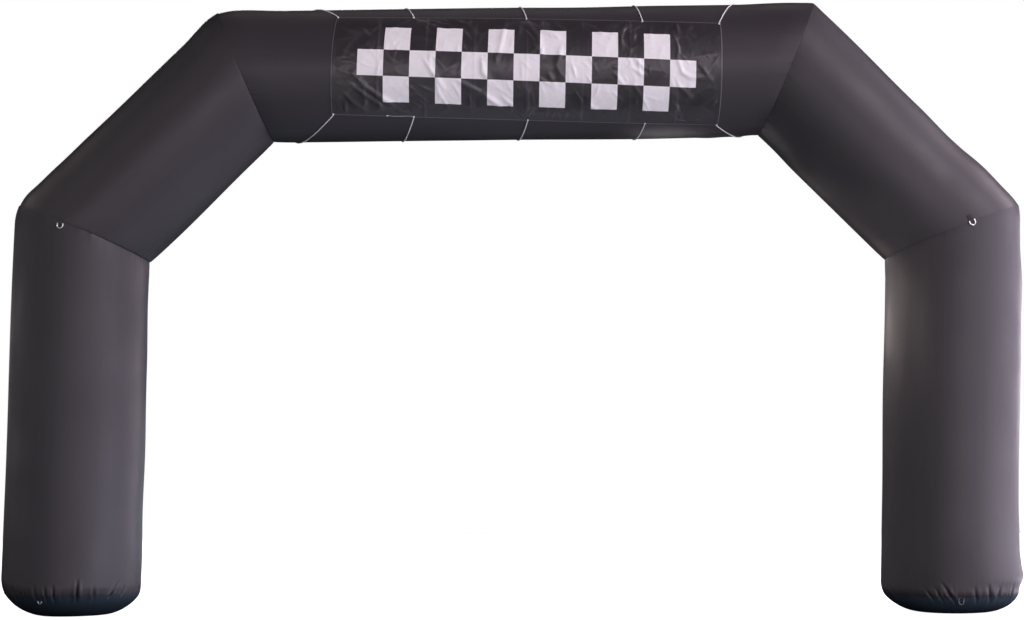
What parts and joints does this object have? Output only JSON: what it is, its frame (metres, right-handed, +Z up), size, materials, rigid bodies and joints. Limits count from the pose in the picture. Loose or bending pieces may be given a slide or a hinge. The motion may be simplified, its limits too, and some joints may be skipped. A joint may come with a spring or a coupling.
{
  "type": "inflatable arch",
  "caption": "Free-standing inflatable race arch of one air-filled tube with slanted shoulders, gathered dark bases, a laced front banner and steel tie-down rings on webbing tabs.",
  "frame": {"origin": "on the ground, at the middle of the overall width and depth", "axes": "+X along the span, -Y out of the front with the banner, +Z up"},
  "size_m": [7.6357, 1.0302, 4.6236],
  "materials": {
    "tube_fabric": "charcoal coated fabric, satin, drawn smooth by the air",
    "base_fabric": "blue-black coated fabric, a little glossier",
    "banner_cloth": "dark banner cloth with a satin face",
    "lacing_cord": "pale braided cord",
    "webbing": "dark woven webbing, matt",
    "ring_steel": "bright bent wire"
  },
  "bodies": {
    "root": {"panel_shoulder_left": "tube_fabric", "panel_header": "tube_fabric", "panel_shoulder_right": "tube_fabric", "leg_left": "tube_fabric", "leg_right": "tube_fabric", "base_left": "base_fabric", "base_right": "base_fabric", "banner": "banner_cloth", "cord_1": "lacing_cord", "cord_2": "lacing_cord", "cord_3": "lacing_cord", "cord_4": "lacing_cord", "cord_5": "lacing_cord", "ring_elbow_left": "ring_steel", "tab_elbow_left": "webbing", "ring_elbow_right": "ring_steel", "tab_elbow_right": "webbing", "ring_base_left": "ring_steel", "tab_base_left": "webbing", "ring_base_right": "ring_steel", "tab_base_right": "webbing"}
  },
  "joints": []
}
